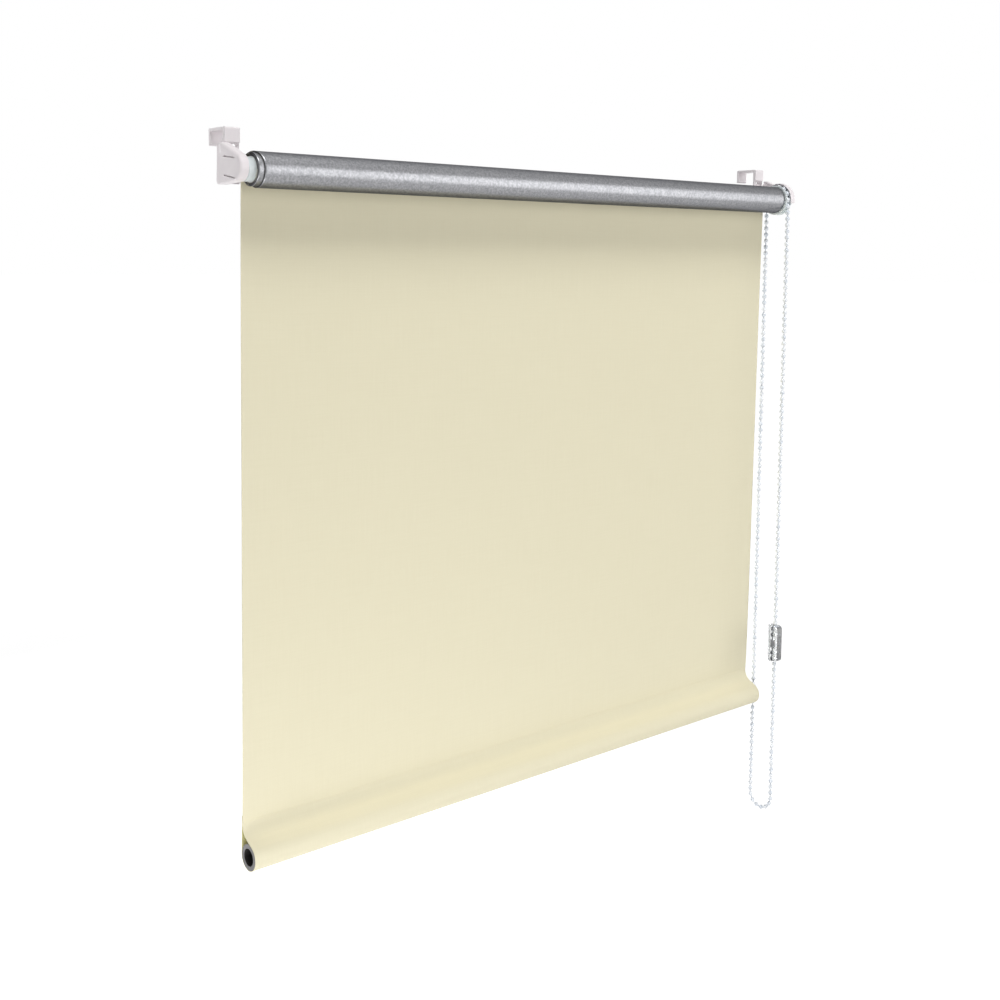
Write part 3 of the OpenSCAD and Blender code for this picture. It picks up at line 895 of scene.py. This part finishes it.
def glossy_beads():
    """Clear-coated bluish white plastic, a little different from bead to bead."""
    material, tree, shader = new_finish(
        "glossy_bead_plastic", Coat_Weight=0.5, Coat_Roughness=0.06, Subsurface_Weight=0.1,
        Subsurface_Scale=0.001, Subsurface_Radius=(1, 1, 1))
    tone = tree.nodes.new("ShaderNodeAttribute")
    tone.attribute_name = "bead_tone"
    colour = between(tree, tone.outputs["Fac"], (0.74, 0.79, 0.86), (0.88, 0.91, 0.95))
    link(tree, colour, shader.inputs["Base Color"])
    grain = noise_field(tree, object_place(tree), scale=1400)
    roughen(tree, shader, grain, 0.16, 0.3)
    surface_relief(tree, shader, grain, strength=0.06, depth=0.05 * mm)
    return material


def chain_tree(bead, material):
    """Puts a bead on every marked point of a line, and a cord along the line's edges."""
    tree = bpy.data.node_groups.new("beads_on_cord", "GeometryNodeTree")
    face = tree.interface
    face.new_socket("Line", in_out="INPUT", socket_type="NodeSocketGeometry")
    thick = face.new_socket("Cord radius", in_out="INPUT", socket_type="NodeSocketFloat")
    size = face.new_socket("Bead size", in_out="INPUT", socket_type="NodeSocketFloat")
    face.new_socket("Chain", in_out="OUTPUT", socket_type="NodeSocketGeometry")
    new = tree.nodes.new
    given, made = new("NodeGroupInput"), new("NodeGroupOutput")
    marked = new("GeometryNodeInputNamedAttribute")
    marked.data_type = "BOOLEAN"
    marked.inputs["Name"].default_value = "has_bead"
    along = new("GeometryNodeInputNamedAttribute")
    along.data_type = "FLOAT_VECTOR"
    along.inputs["Name"].default_value = "along"
    aligned = new("FunctionNodeAlignRotationToVector")
    aligned.axis = "Z"
    link(tree, along.outputs["Attribute"], aligned.inputs["Vector"])
    form = new("GeometryNodeObjectInfo")
    form.inputs["Object"].default_value = bead
    placed = new("GeometryNodeInstanceOnPoints")
    link(tree, given.outputs["Line"], placed.inputs["Points"])
    link(tree, marked.outputs["Attribute"], placed.inputs["Selection"])
    link(tree, form.outputs["Geometry"], placed.inputs["Instance"])
    link(tree, aligned.outputs["Rotation"], placed.inputs["Rotation"])
    link(tree, given.outputs["Bead size"], placed.inputs["Scale"])
    chance = new("FunctionNodeRandomValue")
    chance.data_type = "FLOAT"
    chance.inputs["Seed"].default_value = tone_seed
    toned = new("GeometryNodeStoreNamedAttribute")
    toned.data_type = "FLOAT"
    toned.domain = "INSTANCE"
    toned.inputs["Name"].default_value = "bead_tone"
    link(tree, placed.outputs["Instances"], toned.inputs["Geometry"])
    link(tree, chance.outputs[1], toned.inputs["Value"])
    line = new("GeometryNodeMeshToCurve")
    link(tree, given.outputs["Line"], line.inputs["Mesh"])
    round_cord = new("GeometryNodeCurvePrimitiveCircle")
    round_cord.inputs["Resolution"].default_value = cord_sides
    link(tree, given.outputs["Cord radius"], round_cord.inputs["Radius"])
    cord = new("GeometryNodeCurveToMesh")
    cord.inputs["Fill Caps"].default_value = True
    link(tree, line.outputs["Curve"], cord.inputs["Curve"])
    link(tree, round_cord.outputs["Curve"], cord.inputs["Profile Curve"])
    joined = new("GeometryNodeJoinGeometry")
    link(tree, cord.outputs["Mesh"], joined.inputs["Geometry"])
    link(tree, toned.outputs["Geometry"], joined.inputs["Geometry"])
    real = new("GeometryNodeRealizeInstances")
    link(tree, joined.outputs["Geometry"], real.inputs["Geometry"])
    painted = new("GeometryNodeSetMaterial")
    painted.inputs["Material"].default_value = material
    link(tree, real.outputs["Geometry"], painted.inputs["Geometry"])
    link(tree, painted.outputs["Geometry"], made.inputs["Chain"])
    return tree, {thick.identifier: cord_radius, size.identifier: 1.0}


line_mesh = bpy.data.meshes.new("bead_loop")
count = len(chain_path)
joint_edges = {(k, k + 1) for k in range(missing_beads[0] - 1, missing_beads[-1] + 1)}
line_edges = [(i, (i + 1) % count) for i in range(count)]
line_mesh.from_pydata(chain_path, [e for e in line_edges if e not in joint_edges], [])
has_bead = line_mesh.attributes.new("has_bead", "BOOLEAN", "POINT")
has_bead.data.foreach_set("value", [i not in missing_beads for i in range(count)])
along = line_mesh.attributes.new("along", "FLOAT_VECTOR", "POINT")
along.data.foreach_set("vector", [
    b - a for i in range(count)
    for a, b in zip(chain_path[i - 1], chain_path[(i + 1) % count])])
bead_loop = place_piece("bead_loop", line_mesh)
bead = bead_form()
beads_on_cord, chain_inputs = chain_tree(bead, glossy_beads())
stringing = bead_loop.modifiers.new("beads on cord", "NODES")
stringing.node_group = beads_on_cord
for identifier, value in chain_inputs.items():
    stringing[identifier] = value
plain_mesh(bead_loop)
bpy.data.objects.remove(bead)
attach(bead_loop, "frame")
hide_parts("bead_chain")


# Chain connector. A clear moulded clip with a ribbed, smoky front holds two beads at each end
# of the chain, so that the loop comes apart if it is pulled hard.
connector_edge = 0.3 * mm
clear_plastic, clear_tree, clear_shader = new_finish(
    "clear_clip_plastic", Transmission_Weight=0.75, IOR=1.47)
clear_place = object_place(clear_tree)
clear_cloud = noise_field(clear_tree, clear_place, scale=300)
tint(clear_tree, clear_shader, clear_cloud, (0.80, 0.83, 0.87), (0.92, 0.94, 0.97))
clear_grain = noise_field(clear_tree, clear_place, scale=1500)
roughen(clear_tree, clear_shader, clear_grain, 0.06, 0.2)
surface_relief(clear_tree, clear_shader, clear_grain, strength=0.08, depth=0.05 * mm)
smoky_plastic = moulded_plastic(
    "smoky_clip_front", pale=(0.30, 0.305, 0.315), deep=(0.15, 0.152, 0.158),
    rough=(0.22, 0.40), grain_scale=2000, Transmission_Weight=0.2)
connector = rounded_copy("chain_connector", connector_edge, clear_plastic, steps=2)
connector.data.materials.append(smoky_plastic)
for face in connector.data.polygons:
    if face.normal.y < -0.5:
        face.material_index = 1
